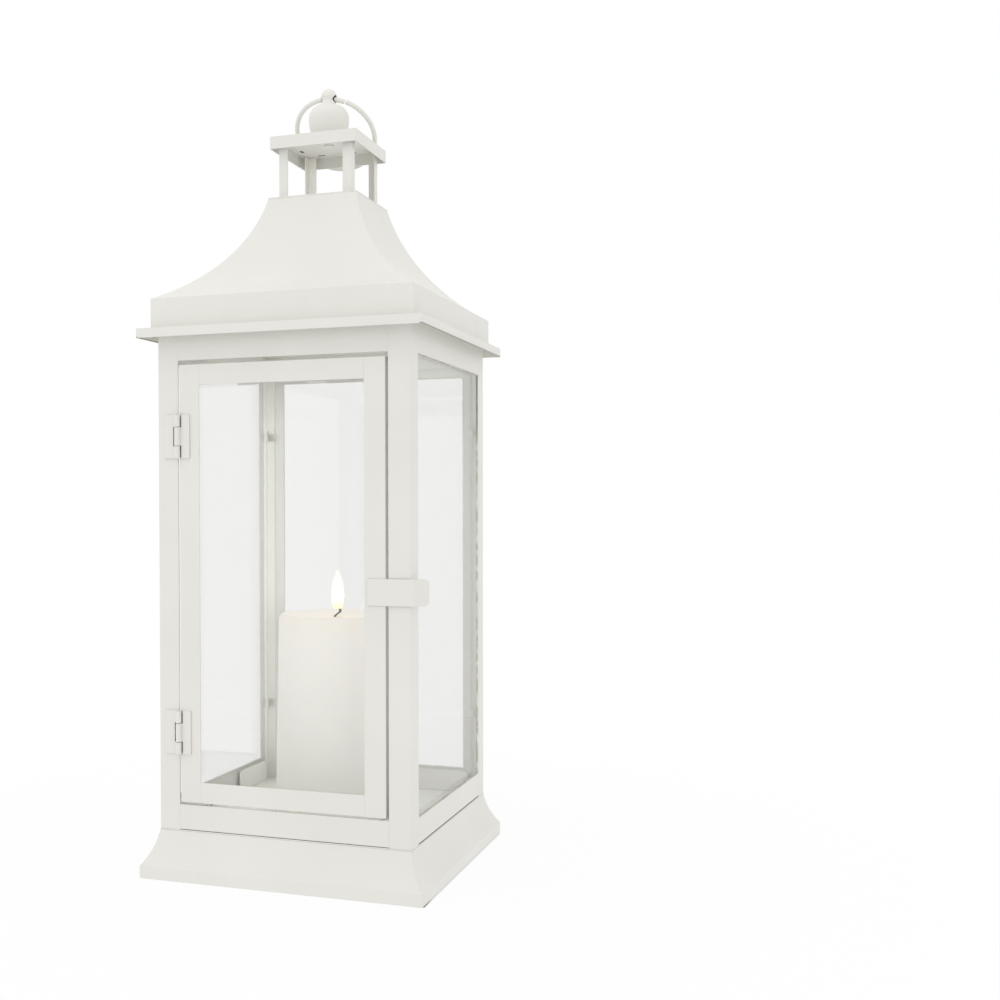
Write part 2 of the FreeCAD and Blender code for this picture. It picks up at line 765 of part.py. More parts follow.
def build_hinges():
    """Build two hinges, each a frame leaf, a door leaf and a pin."""
    half = "hinge_height / 2"
    inner = "middle_knuckle / 2"
    pins = []
    for name, level in (
        ("lower", f"({OPENING_BOTTOM} + lower_hinge_inset)"),
        ("upper", f"({OPENING_TOP} - upper_hinge_inset)"),
    ):
        hinge_leaf(f"hinge_leaf_frame_{name}", level, "frame",
                   [(f"-{half}", f"-{inner} - seat_gap"), (f"{inner} + seat_gap", half)])
        hinge_leaf(f"hinge_leaf_door_{name}", level, "door", [(f"-{inner}", inner)])
        pins.append(cylinder("pin_radius", (HINGE_X, HINGE_Y, f"{level} - {half} - pin_stub"),
                             "hinge_height + 2 * pin_stub"))
    finished(group(pins), "hinge_pins")


# Candle


def build_wax():
    """Build the wax shell, its wick, flame and lamp."""
    wax = new_body("candle_wax")
    hole = "(stem_radius + fit_gap)"
    pool = "(candle_radius - wax_rim)"
    revolve(wax, [
        (CAVITY_RADIUS, "0"),
        ("candle_radius + candle_flare", "0"),
        ("candle_radius", "candle_height - wax_edge"),
        ("candle_radius - wax_edge", "candle_height", "wax_edge", "left"),
        (pool, "candle_height"),
        (hole, STEM_TOP, quarter("dish_depth", f"{pool} - {hole}"), "right"),
        (hole, "candle_height - wax_top"),
        (CAVITY_RADIUS, "candle_height - wax_top"),
    ])
    place(wax, x="candle_offset", z=CANDLE_FOOT)

    wick = cylinder("wick_radius", ("candle_offset", "0", f"{CANDLE_FOOT} + {STEM_TOP}"), "wick_height")
    finished(wick, "candle_wick")

    flame = new_body("candle_flame")
    lamp_hole = "(led_radius + fit_gap)"
    lamp_top = "(led_height + fit_gap)"
    revolve(flame, [
        (lamp_hole, "0"),
        ("flame_foot_radius", "0"),
        ("flame_radius", "flame_belly", quarter("flame_radius - flame_foot_radius", "flame_belly"), "left"),
        ("flame_tip_radius", "flame_belly + flame_taper",
         quarter("flame_radius - flame_tip_radius", "flame_taper"), "left"),
        ("0", "flame_belly + flame_taper"),
        ("0", lamp_top),
        (lamp_hole, lamp_top),
    ])
    place(flame, x="candle_offset", z=FLAME_FOOT)

    lamp = new_body("flame_led")
    revolve(lamp, [
        ("0", "0"),
        ("led_radius", "0"),
        ("led_radius", "led_height - led_radius"),
        ("0", "led_height", "led_radius", "left"),
    ])
    place(lamp, x="candle_offset", z=FLAME_FOOT)


def build_battery_case():
    """Build the battery case with its cover, cells, contacts and circuit board."""

    def at(x="0", y="0", z="0"):
        return (f"candle_offset + {x}", y, f"{CANDLE_FOOT} + {z}")

    def slab(length, width, low, high, y="0"):
        return box(at(f"-({length}) / 2", f"{y} - ({width}) / 2", low),
                   at(f"({length}) / 2", f"{y} + ({width}) / 2", high))

    places = ("-cell_spacing / 2", "cell_spacing / 2")
    contact_length = "(cell_spacing + 2 * contact_radius)"
    slot_length = "(slider_length + slider_travel + 2 * seat_gap)"
    slot_width = "(slider_width + 2 * seat_gap)"
    solid = joined([
        cylinder(f"{CAVITY_RADIUS} - fit_gap", at(), "flange_height"),
        cylinder("tower_radius", at(), TOWER_TOP),
        cylinder("stem_radius", at(), STEM_TOP),
    ])
    hollows = [
        slab("cover_length", "cover_width", "0", "cover_thickness"),
        slab(contact_length, "contact_width", "cover_thickness", CELLS_FOOT),
        slab(slot_length, slot_width, "0", "flange_height", "-slider_place"),
    ]
    for x in places:
        hollows.append(cylinder("cell_radius + fit_gap", at(x, z=CELLS_FOOT), "cell_length + contact"))
    finished(cut(solid, hollows), "battery_case")

    cover = slab("cover_length - 2 * fit_gap", "cover_width - 2 * fit_gap", "0", "cover_thickness")
    finished(cover, "battery_cover")
    cells = [cylinder("cell_radius", at(x, z=CELLS_FOOT), "cell_length") for x in places]
    finished(group(cells), "battery_cells")
    contacts = [slab(contact_length, "contact_width", "cover_thickness", CELLS_FOOT)]
    for x in places:
        contacts.append(cylinder("contact_radius", at(x, z=CELLS_TOP), "contact"))
    finished(group(contacts), "battery_contacts")

    disc = cylinder("board_radius", at(z=TOWER_TOP), "board_thickness")
    stem_hole = cylinder("stem_radius + fit_gap", at(z=TOWER_TOP), "board_thickness")
    finished(cut(disc, [stem_hole]), "circuit_board")

    start = f"-({slot_length}) / 2 + seat_gap"
    stem = box(
        at(start, "-slider_place - slider_width / 2", "slider_recess"),
        at(f"{start} + slider_length", "slider_width / 2 - slider_place",
           "flange_height + seat_gap + slider_lip"),
    )
    head = box(
        at(f"{start} - slider_lip", "-slider_place - slider_width / 2 - slider_lip",
           "flange_height + seat_gap"),
        at(f"{start} + slider_length + slider_lip", "slider_width / 2 + slider_lip - slider_place",
           "flange_height + seat_gap + slider_lip"),
    )
    finished(joined([stem, head]), "switch_slider")


def write_pieces():
    """Check every object and write each piece to its own file."""
    doc.recompute()
    for item in doc.Objects:
        if {"Invalid", "Error"} & set(item.State):
            raise RuntimeError(f"{item.Label} could not be made: {item.State}")
    for item in pieces:
        if item.Shape.isNull() or not item.Shape.isValid() or not item.Shape.Solids:
            raise RuntimeError(f"{item.Label} is not a valid solid")
    os.makedirs("parts", exist_ok=True)
    for item in pieces:
        item.Shape.exportStep(f"parts/{item.Label}.step")
        print(f"{item.Label}: {len(item.Shape.Solids)} solid, {item.Shape.Volume:.1f} mm3")


build_base()
build_frame()
build_panes()
build_roof()
build_chimney()
build_ring()
build_door()
build_latch()
build_hinges()
build_wax()
build_battery_case()
write_pieces()
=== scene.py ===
"""Looks of the candle lantern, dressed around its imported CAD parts.

Metres, Z up, front towards -Y, origin in the middle of the base's foot, as in the CAD.
Colours are written as they read in daylight, sRGB from 0 to 255.
"""
import json
import math

import bpy
from mathutils import Matrix, Vector

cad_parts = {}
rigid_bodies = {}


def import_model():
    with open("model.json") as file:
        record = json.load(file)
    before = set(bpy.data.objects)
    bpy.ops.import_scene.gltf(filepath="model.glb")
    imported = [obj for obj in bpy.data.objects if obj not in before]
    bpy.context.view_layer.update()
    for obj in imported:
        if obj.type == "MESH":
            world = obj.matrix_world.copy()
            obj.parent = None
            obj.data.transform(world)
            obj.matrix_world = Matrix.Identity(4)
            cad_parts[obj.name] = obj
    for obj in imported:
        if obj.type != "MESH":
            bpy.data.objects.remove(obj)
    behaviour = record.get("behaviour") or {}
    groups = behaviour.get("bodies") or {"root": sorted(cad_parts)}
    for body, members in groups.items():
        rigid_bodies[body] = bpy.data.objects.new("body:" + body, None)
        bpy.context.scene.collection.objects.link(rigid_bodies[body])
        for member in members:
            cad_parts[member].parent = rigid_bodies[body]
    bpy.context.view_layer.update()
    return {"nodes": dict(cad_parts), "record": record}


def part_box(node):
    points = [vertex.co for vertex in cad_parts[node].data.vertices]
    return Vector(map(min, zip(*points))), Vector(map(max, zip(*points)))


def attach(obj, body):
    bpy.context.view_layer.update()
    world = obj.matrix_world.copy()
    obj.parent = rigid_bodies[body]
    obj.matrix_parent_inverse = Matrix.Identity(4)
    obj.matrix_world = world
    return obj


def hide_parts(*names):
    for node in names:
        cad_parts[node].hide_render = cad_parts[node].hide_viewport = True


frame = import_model()

MM = 0.001

# Camera, solved from the straight edges of the lantern
IMAGE_PIXELS = 1000
SENSOR_MM = 36.0
FOCAL_PIXELS = 1307.5
AXIS_PIXEL = (363.0, 530.0)
CAMERA_PLACE = (0.30487, -0.78071, 0.22382)
CAMERA_TURN = (88.943, 0.161, 19.894)

# Studio light
WORLD_LIGHT = 0.94
FLOOR_GLOW = 1.0
# Back pieces that studio light hardly reaches, by the starts of their names
BACK_CORNER = (
    "corner_post_back_left_",
    "top_rail_back_",
    "pane_left_",
    "pane_clips_left_",
    "clip_solder_left_",
    "clip_solder_back_",
)
# Lamps, as (place, width, watts, starts of the names of the only pieces lit, none for all)
LAMPS = {
    "front_lamp": ((0.45, -2.0, 0.75), 1.4, 1.2, ()),
    "top_lamp": ((-0.3, -0.7, 2.1), 1.4, 6.5, ()),
    "post_lamp": ((0.85, -1.85, 0.2), 0.6, 24.0, BACK_CORNER),
    "chimney_lamp": ((0.75, -1.9, 0.25), 0.7, 13.0, ("chimney_post_back_left_",)),
}
LOOK_AT = (0.0, 0.0, 0.22)
FLOOR_DROP = 0.0003
FOOT_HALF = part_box("base_skirt_front")[1][0]
# Painted contact shadow on the floor: how far it reaches past the foot, and where it fades
CONTACT_SHADOW = 1.1 * MM
CONTACT_SHADOW_FADE = (22 * MM - FOOT_HALF, 6 * MM - FOOT_HALF)

# Edges of the painted sheet and the glass
SHEET_ROUND = 0.25 * MM
FINE_ROUND = 0.08 * MM
GLASS_ROUND = 0.3 * MM
TRAY_CORNER = 1.4 * MM
SHEET = 0.8 * MM
SHARP_TURN = math.radians(30)
ROUND_TURN = math.radians(40)
MELTED_TURN = math.radians(60)

# How the solids are dressed, by their names or the starts of their names
TURNED = ("finial", "finial_screw", "candle_wax", "candle_flame", "hinge_pins")
MADE_NEW = ("carry_ring", "candle_wick")
BENDS = {
    "chimney_cap": TRAY_CORNER,
    "eave_plate": TRAY_CORNER,
    "corner_post": 1.0 * MM,
    "chimney_post": 0.7 * MM,
}
FINE_EDGED = (
    "base_skirt",
    "corner_post",
    "bottom_rail",
    "top_rail",
    "door_stile",
    "door_rail",
    "roof",
    "eave_plate",
    "chimney_cap",
    "hinge_leaf",
)

# Carry ring: a wire bent round until its ends nearly meet
RING_CENTRE = (-2.6 * MM, 18.97 * MM, 465.5 * MM)
RING_RADIUS = 26.0 * MM
RING_WIRE = 3.0 * MM
RING_LEAN = 41.84
RING_AXIS = 482.5 * MM
RING_HOLE = 2.6 * MM
NECK_RADIUS = 4.3 * MM
RING_GAP_TURN = -62.0
RING_GAP = 0.7 * MM
RING_MISMATCH = 0.4 * MM
RING_STEPS = 140
RING_SIDES = 20

# Sealant round the fixed panes
OPENING_HALF = 66.5 * MM
PANE_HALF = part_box("pane_right")[1][1]
OPENING_FOOT = 44.5 * MM
OPENING_HEAD = 311.0 * MM
PANE_FACE = 79.2 * MM
BEAD_RADIUS = 0.5 * MM
BEAD_INSET = 0.3 * MM
BEAD_STEP = 1.6 * MM
BEAD_RIPPLE = 0.5 * MM
PANE_TURNS = {"right": 90, "back": 180, "left": 270}

# Solder beside the clips that hold the fixed panes
DOT_RADIUS = 1.5 * MM
DOT_PLACE = 77.4 * MM
DOT_LEVELS = (79.3 * MM, 276.2 * MM)

# Slots under the chimney cap, as (across, along, length across, length along)
CAP_UNDERSIDE = 453.5 * MM
CAP_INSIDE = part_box("chimney_cap")[1][0] - SHEET
SLOT_DEPTH = 0.5 * MM
SLOTS_IN_CAP = ((-22.0, 8.0, 2.0, 4.6), (-13.4, 21.0, 4.6, 2.0))

# Eave, body and the gaps round the door, for the shade in their seams
EAVE_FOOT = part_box("eave_plate")[0][2]
EAVE_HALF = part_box("eave_plate")[1][0]
EAVE_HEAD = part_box("eave_plate")[1][2]
BODY_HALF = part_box("corner_post_front_right")[1][0]
DOOR_MIDDLE = (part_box("door_rail_top")[0][1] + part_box("door_rail_top")[1][1]) / 2
LATCH_GAP = (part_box("door_stile_latch")[1][0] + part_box("corner_post_front_right")[0][0]) / 2
HEAD_GAP = (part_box("door_rail_top")[1][2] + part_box("top_rail_front")[0][2]) / 2
SILL_GAP = (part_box("door_rail_bottom")[0][2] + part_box("bottom_rail_front")[1][2]) / 2
SILL_STRETCH = (-42 * MM, -54 * MM)
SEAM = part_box("bottom_rail_right")[0][2] - 0.2 * MM

# Candle
CANDLE_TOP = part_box("candle_wax")[1][2]
CANDLE_X = (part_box("candle_wax")[0][0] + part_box("candle_wax")[1][0]) / 2
WICK_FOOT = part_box("candle_wick")[0][2]
WICK_RADIUS = 0.85 * MM
# Steps of the wick's curl, as (run, rise, swell)
WICK_STEPS = (
    (0.3, 0.7, 1.05),
    (0.9, 0.9, 1.0),
    (1.3, 0.9, 1.05),
    (1.2, 0.9, 1.0),
    (0.4, 1.0, 0.95),
    (-0.8, 1.1, 0.9),
    (-0.9, 1.2, 0.85),
)
FLAME_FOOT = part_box("candle_flame")[0][2]
CORE_BELLY = FLAME_FOOT + 8.5 * MM
CORE_RADIUS = 2.0 * MM
CORE_STRETCH = 1.9
CORE_SHOULDER = 3.4 * MM
CORE_DRAW = 3.0 * MM
CORE_REACH = 5.0 * MM


# Shader nodes

class Value:
    """A socket in a node tree. Sums, differences and products of values add Math nodes."""

    def __init__(self, nodes, socket):
        self.nodes = nodes
        self.socket = socket

    def math(self, operation, *terms):
        return self.nodes.node("ShaderNodeMath", {"operation": operation}, dict(enumerate(terms)))

    def __add__(self, other):
        return self.math("ADD", self, other)

    def __radd__(self, other):
        return self.math("ADD", other, self)

    def __sub__(self, other):
        return self.math("SUBTRACT", self, other)

    def __rsub__(self, other):
        return self.math("SUBTRACT", other, self)

    def __mul__(self, other):
        return self.math("MULTIPLY", self, other)

    def __rmul__(self, other):
        return self.math("MULTIPLY", other, self)

    def __pow__(self, other):
        return self.math("POWER", self, other)

    def __abs__(self):
        return self.math("ABSOLUTE", self)

    def larger(self, other):
        return self.math("MAXIMUM", self, other)

    def smaller(self, other):
        return self.math("MINIMUM", self, other)


class Nodes:
    """The node tree of a material or of the world."""

    def __init__(self, owner):
        owner.use_nodes = True
        self.owner = owner
        self.tree = owner.node_tree
        self.tree.nodes.clear()

    def node(self, kind, settings=None, sockets=None, output=0):
        """Add a node, set its settings, then fill or link its sockets."""
        made = self.tree.nodes.new(kind)
        for name, setting in (settings or {}).items():
            setattr(made, name, setting)
        for key, entry in (sockets or {}).items():
            if isinstance(entry, Value):
                self.tree.links.new(entry.socket, made.inputs[key])
            else:
                made.inputs[key].default_value = entry
        return Value(self, made.outputs[output]) if made.outputs else None

    def seen(self):
        """1 for rays that show the background: straight, mirrored or through glass."""
        camera = self.node("ShaderNodeLightPath", output="Is Camera Ray")
        glossy = self.node("ShaderNodeLightPath", output="Is Glossy Ray")
        through = self.node("ShaderNodeLightPath", output="Is Transmission Ray")
        return camera.larger(glossy.larger(through))


class Finish(Nodes):
    """A procedural material that reads the piece's own coordinates."""

    def __init__(self, name):
        super().__init__(bpy.data.materials.new(name))
        self.place = self.node("ShaderNodeTexCoord", output="Object")

    def noise(self, scale, detail=2.0, stretch=None):
        """Soft noise with scale features to the metre, stretched along an axis by a small factor."""
        place = self.place
        if stretch:
            place = self.node("ShaderNodeMapping", sockets={"Vector": place, "Scale": stretch})
        return self.node("ShaderNodeTexNoise", sockets={"Vector": place, "Scale": scale, "Detail": detail})

    def cells(self, scale):
        """Distance to the nearest point of a scatter with scale points to the metre."""
        return self.node("ShaderNodeTexVoronoi", sockets={"Vector": self.place, "Scale": scale})

    def axis(self, name):
        return self.node("ShaderNodeSeparateXYZ", sockets={"Vector": self.place}, output=name)

    def ease(self, value, low, high):
        """A smooth step from 0 at low to 1 at high."""
        return self.node(
            "ShaderNodeMapRange",
            {"interpolation_type": "SMOOTHSTEP"},
            {"Value": value, "From Min": low, "From Max": high},
        )

    def near(self, value, full, none):
        """1 where a value lies within full of 0, falling to 0 at none."""
        return self.ease(abs(value), none, full)

    def length(self, vector):
        return self.node("ShaderNodeVectorMath", {"operation": "LENGTH"}, {0: vector}, output="Value")

    def from_line(self, across, offset):
        """Distance from a line, from the axes across it and the shift that brings it to 0."""
        shifted = self.node(
            "ShaderNodeVectorMath",
            {"operation": "MULTIPLY_ADD"},
            {0: self.place, 1: across, 2: offset},
        )
        return self.length(shifted)

    def mix(self, amount, first, second):
        """A colour between two colours."""
        return self.node(
            "ShaderNodeMix",
            {"data_type": "RGBA"},
            {"Factor": amount, 6: first, 7: second},
            output=2,
        )

    def from_wick(self):
        """Distance from the candle's upright axis."""
        return self.from_line((1, 1, 0), (-CANDLE_X, 0, 0))

    def edges(self, width):
        """1 along sharp edges, 0 on flat sheet."""
        rounded = self.node("ShaderNodeBevel", {"samples": 4}, {"Radius": width})
        flat = self.node("ShaderNodeNewGeometry", output="Normal")
        facing = self.node(
            "ShaderNodeVectorMath",
            {"operation": "DOT_PRODUCT"},
            {0: rounded, 1: flat},
            output="Value",
        )
        return 1 - facing

    def nooks(self, reach):
        """1 deep in seams and corners, 0 in the open."""
        open_sky = self.node(
            "ShaderNodeAmbientOcclusion",
            {"samples": 8},
            {"Distance": reach},
            output="AO",
        )
        return 1 - open_sky

    def bump(self, height, depth, strength=1.0):
        """A normal from a height of 0 to 1 that stands for a depth in metres."""
        return self.node(
            "ShaderNodeBump",
            sockets={"Height": height, "Distance": depth, "Strength": strength},
        )

    def surface(self, shader):
        self.node("ShaderNodeOutputMaterial", sockets={"Surface": shader})
        return self.owner

    def principled(self, **sockets):
        """The finished material, from the Principled shader's sockets with underscores for spaces."""
        named = {key.replace("_", " "): entry for key, entry in sockets.items()}
        return self.surface(self.node("ShaderNodeBsdfPrincipled", sockets=named))


def colour(red, green, blue):
    """The linear colour of an sRGB one."""
    def linear(level):
        share = level / 255
        return share / 12.92 if share <= 0.04045 else ((share + 0.055) / 1.055) ** 2.4

    return (linear(red), linear(green), linear(blue), 1.0)


# Finishes

def open_places(finish):
    """How far the shade of close sheets is lifted: inside the body, along mitres and under the cap."""
    level = finish.axis("Z")
    aside = abs(finish.axis("X"))
    along = abs(finish.axis("Y"))
    inside = finish.ease(aside.larger(along), BODY_HALF - 0.4 * MM, BODY_HALF - 0.6 * MM)
    inside = inside * finish.ease(level, OPENING_HEAD + 7 * MM, OPENING_HEAD + 1 * MM)
    skirt = finish.ease(level, SEAM, SEAM - 1 * MM)
    roof = finish.ease(level, EAVE_HEAD, EAVE_HEAD + 1 * MM)
    mitre = finish.near(aside - along, 0.4 * MM, 0.8 * MM) * skirt.larger(roof)
    chimney = finish.ease(level, CAP_UNDERSIDE - 17.5 * MM, CAP_UNDERSIDE - 9.5 * MM)
    return (inside * 0.72).larger(mitre * 0.8).larger(chimney * 0.75)


def door_gap_shade(finish):
    """Painted shade in the gaps round the door: beside the latch, over the door, and under it at the hinge
    end.
    """
    level = finish.axis("Z")
    across = finish.axis("X")
    doorway = finish.near(finish.axis("Y") - DOOR_MIDDLE, 2.6 * MM, 2.8 * MM)
    doorway = doorway * finish.near(across, OPENING_HALF - 0.1 * MM, OPENING_HALF + 0.1 * MM)
    latch_side = finish.near(across - LATCH_GAP, 0.8 * MM, 1.0 * MM)
    latch_side = latch_side * finish.ease(level, SILL_GAP - 1 * MM, SILL_GAP)
    latch_side = latch_side * finish.ease(level, HEAD_GAP, HEAD_GAP - 1 * MM)
    head_side = finish.near(level - HEAD_GAP, 1.3 * MM, 1.5 * MM)
    sill_side = finish.near(level - SILL_GAP, 0.75 * MM, 0.9 * MM) * finish.ease(across, *SILL_STRETCH)
    return doorway * (latch_side * 0.6).larger(head_side * 0.6).larger(sill_side)


def seam_shade(finish):
    """Painted shade in the seams between base and body at the sides, and under the eave's rim."""
    level = finish.axis("Z")
    aside = abs(finish.axis("X"))
    seam = finish.near(level - SEAM, 0.4 * MM, 0.55 * MM)
    seam = seam * finish.ease(aside, BODY_HALF - 1.0 * MM, BODY_HALF - 0.6 * MM)
    seam = seam * finish.near(finish.axis("Y"), OPENING_HALF - 0.5 * MM, OPENING_HALF)
    hem = finish.near(level - EAVE_FOOT, 0.4 * MM, 0.9 * MM)
    hem = hem * finish.ease(aside, EAVE_HALF - 2 * MM, EAVE_HALF - 1 * MM)
    return (hem * 0.7).larger(seam * 0.75)


def hole_shade(finish):
    """Painted shade in the slots under the chimney cap and in the bore that the carry ring passes through.
    """
    level = finish.axis("Z")
    aside = abs(finish.axis("X"))
    slot = finish.ease(level, CAP_UNDERSIDE + 0.05 * MM, CAP_UNDERSIDE + 0.15 * MM)
    slot = slot * finish.ease(level, CAP_UNDERSIDE + 0.72 * MM, CAP_UNDERSIDE + 0.62 * MM)
    outer = aside.larger(abs(finish.axis("Y")))
    slot = slot * finish.ease(outer, CAP_INSIDE - 0.5 * MM, CAP_INSIDE - 1 * MM)
    bore = finish.from_line((0, 1, 1), (0, 0, -RING_AXIS))
    bore = finish.ease(bore, RING_HOLE + 0.2 * MM, RING_HOLE + 0.05 * MM)
    bore = bore * finish.ease(aside, NECK_RADIUS + 0.1 * MM, NECK_RADIUS - 0.4 * MM)
    return slot.larger(bore)


def white_paint():
    """Warm white satin coat on sheet metal: cloudy tone, orange peel, chipped corners, painted shade in
    corners, seams, gaps and slots, and a duller coat in corners.
    """
    finish = Finish("white_paint")
    cloud = finish.ease(finish.noise(13, 3), 0.3, 0.7)
    mottle = finish.noise(85, 4)
    peel = finish.noise(700, 2)
    flow = finish.noise(160, 1)
    edge = finish.ease(finish.edges(0.9 * MM), 0.04, 0.35)
    broken = finish.ease(finish.noise(330, 3), 0.60, 0.68)
    nib = finish.ease(finish.cells(260), 0.06, 0.03)
    shaded = 1 - open_places(finish)
    # Painted shade: occlusion masks that find corners, narrow gaps and grooves; the corner mask also dulls
    # the coat
    nook_shade_and_dull = finish.ease(finish.nooks(4 * MM), 0.45, 0.95) * shaded
    gap = finish.ease(finish.nooks(1.2 * MM), 0.42, 0.78) * shaded
    deep = finish.ease(finish.nooks(5 * MM), 0.76, 0.92) * shaded

    tone = finish.mix(cloud, colour(228, 227, 221), colour(224, 223, 217))
    tone = finish.mix(mottle * 0.35, tone, colour(221, 219, 211))
    # Painted shade: darker in corners, gaps round the door, seams, grooves, slots and the ring's bore
    tone = finish.mix(nook_shade_and_dull * 0.35, tone, colour(186, 181, 168))
    tone = finish.mix(gap.larger(door_gap_shade(finish)) * 0.7, tone, colour(112, 107, 94))
    tone = finish.mix(seam_shade(finish), tone, colour(104, 100, 90))
    tone = finish.mix((deep * 0.9).larger(hole_shade(finish) * 0.85), tone, colour(44, 42, 37))
    tone = finish.mix(edge * 0.14, tone, colour(214, 211, 202))
    tone = finish.mix(edge * broken * 0.6, tone, colour(150, 145, 134))
    tone = finish.mix(nib * 0.25, tone, colour(205, 201, 190))

    height = peel * 0.55 + flow * 0.9 + nib * 0.8
    return finish.principled(
        Base_Color=tone,
        Roughness=0.36 + mottle * 0.12 + nook_shade_and_dull * 0.2 + edge * 0.06,
        Normal=finish.bump(height, 0.03 * MM, 0.6),
    )


def clear_glass():
    """Thin float glass: a grey-white film, a mirror at grazing angles, faint wipe marks, ground edges."""
    finish = Finish("clear_glass")
    wiped = finish.ease(finish.noise(26, 4, (1.0, 1.0, 0.35)), 0.35, 0.75)
    dust = finish.ease(finish.cells(420), 0.05, 0.02)
    aslant = finish.node("ShaderNodeLayerWeight", sockets={"Blend": 0.5}, output="Facing")
    mirror = 0.07 + aslant ** 5 * 0.8
    through = finish.node("ShaderNodeBsdfTransparent", sockets={"Color": (0.98, 0.981, 0.978, 1.0)})
    shine = finish.node(
        "ShaderNodeBsdfGlossy",
        sockets={"Color": (0.84, 0.85, 0.835, 1.0), "Roughness": 0.01 + wiped * 0.02},
    )
    amount = mirror + wiped * 0.006 + dust * 0.1
    pane = finish.node("ShaderNodeMixShader", sockets={0: amount, 1: through, 2: shine})
    inward = abs(finish.axis("X")).smaller(abs(finish.axis("Y")))
    ground = finish.node("ShaderNodeBsdfDiffuse", sockets={"Color": (0.93, 0.95, 0.92, 1.0)})
    cut_edge = finish.ease(inward, PANE_HALF - 0.6 * MM, PANE_HALF - 0.2 * MM) * 0.8
    pane = finish.node("ShaderNodeMixShader", sockets={0: cut_edge, 1: pane, 2: ground})
    lamp_ray = finish.node("ShaderNodeLightPath", output="Is Shadow Ray")
    fill_ray = finish.node("ShaderNodeLightPath", output="Is Diffuse Ray")
    clear = finish.node("ShaderNodeBsdfTransparent")
    return finish.surface(
        finish.node("ShaderNodeMixShader", sockets={0: lamp_ray.larger(fill_ray), 1: pane, 2: clear})
    )


def ivory_wax():
    """Ivory wax: faint drawn streaks, soft lumps, painted warm light on the top and round the wick, and a
    painted glow that grows towards the top.
    """
    finish = Finish("ivory_wax")
    streak = finish.noise(150, 3, (1.0, 1.0, 0.12))
    cloud = finish.noise(36, 3)
    pits = finish.ease(finish.cells(300), 0.10, 0.03)
    grain = finish.noise(900, 2)
    # Painted flame light: masks for the warm top and the ring round the wick
    top_light = finish.ease(finish.axis("Z"), CANDLE_TOP - 16 * MM, CANDLE_TOP)
    beside = finish.ease(finish.from_wick(), 20 * MM, 4 * MM)
    within = finish.ease(finish.from_wick(), 38 * MM, 33 * MM)
    crown = finish.ease(finish.axis("Z"), CANDLE_TOP - 7 * MM, CANDLE_TOP - 3 * MM) * within
    # Painted glow: the wax gives out light, faint low down and stronger at the top and round the wick
    fading = finish.ease(finish.axis("Z"), CANDLE_TOP - 70 * MM, CANDLE_TOP)
    glow = finish.mix(fading, colour(22, 21, 20), colour(66, 60, 54))
    glow = finish.mix(crown, glow, finish.mix(beside, colour(116, 109, 102), colour(132, 110, 94)))

    tone = finish.mix(streak, colour(247, 245, 239), colour(243, 241, 234))
    tone = finish.mix(cloud * 0.5, tone, colour(249, 247, 242))
    # Painted warm light on the top and round the wick
    tone = finish.mix(top_light * 0.15 + beside * top_light * 0.45, tone, colour(246, 230, 212))
    tone = finish.mix(pits * 0.2, tone, colour(208, 203, 190))
    return finish.principled(
        Base_Color=tone,
        Roughness=0.42 + cloud * 0.16,
        Normal=finish.bump(cloud * 1.0 + streak * 0.5 + grain * 0.1, 0.12 * MM, 0.6),
        Emission_Color=glow,
        Emission_Strength=1.0,
        Subsurface_Weight=0.35,
        Subsurface_Radius=(1.0, 0.72, 0.5),
        Subsurface_Scale=6 * MM,
    )


def flame_plastic():
    """Frosted shell round the lit core of the flame: milky, and yellow at the foot."""
    finish = Finish("flame_plastic")
    height = finish.axis("Z")
    frost = finish.noise(1500, 2)
    lit = finish.ease(height, FLAME_FOOT + 1 * MM, FLAME_FOOT + 6 * MM)
    aslant = finish.node("ShaderNodeLayerWeight", sockets={"Blend": 0.5}, output="Facing")
    glow = finish.mix(lit, colour(176, 160, 108), colour(158, 157, 152))
    tone = finish.mix(frost, colour(250, 248, 240), colour(246, 243, 232))
    tone = finish.mix(lit, colour(250, 244, 216), tone)
    return finish.principled(
        Base_Color=tone,
        Roughness=0.35 + frost * 0.2,
        Emission_Color=glow,
        Emission_Strength=1.0,
        Alpha=finish.ease(aslant, 0.97, 0.1) * 0.86 + frost * 0.04,
        Normal=finish.bump(frost, 0.02 * MM),
    )


def dark_wick():
    """Charred cord: a plaited bump in dark brown, with paler flecks of ash."""
    finish = Finish("dark_wick")
    plait = finish.node(
        "ShaderNodeTexWave",
        {"bands_direction": "DIAGONAL"},
        {"Vector": finish.place, "Scale": 420.0, "Distortion": 1.5, "Detail": 1.0},
        output="Fac",
    )
    ash = finish.noise(1300, 3)
    tone = finish.mix(plait, colour(66, 56, 50), colour(104, 92, 84))
    tone = finish.mix(finish.ease(ash, 0.55, 0.75) * 0.5, tone, colour(150, 138, 128))
    return finish.principled(
        Base_Color=tone,
        Roughness=0.8 + ash * 0.15,
        Normal=finish.bump(plait + ash * 0.4, 0.15 * MM),
    )


def led_resin():
    """Clear resin that carries the lamp's warm light."""
    finish = Finish("led_resin")
    swirl = finish.noise(800, 2)
    tone = finish.mix(swirl, colour(255, 242, 218), colour(252, 236, 208))
    return finish.principled(
        Base_Color=tone,
        Roughness=0.12 + swirl * 0.1,
        Emission_Color=tone,
        Emission_Strength=2.4,
        Normal=finish.bump(swirl, 0.02 * MM),
    )


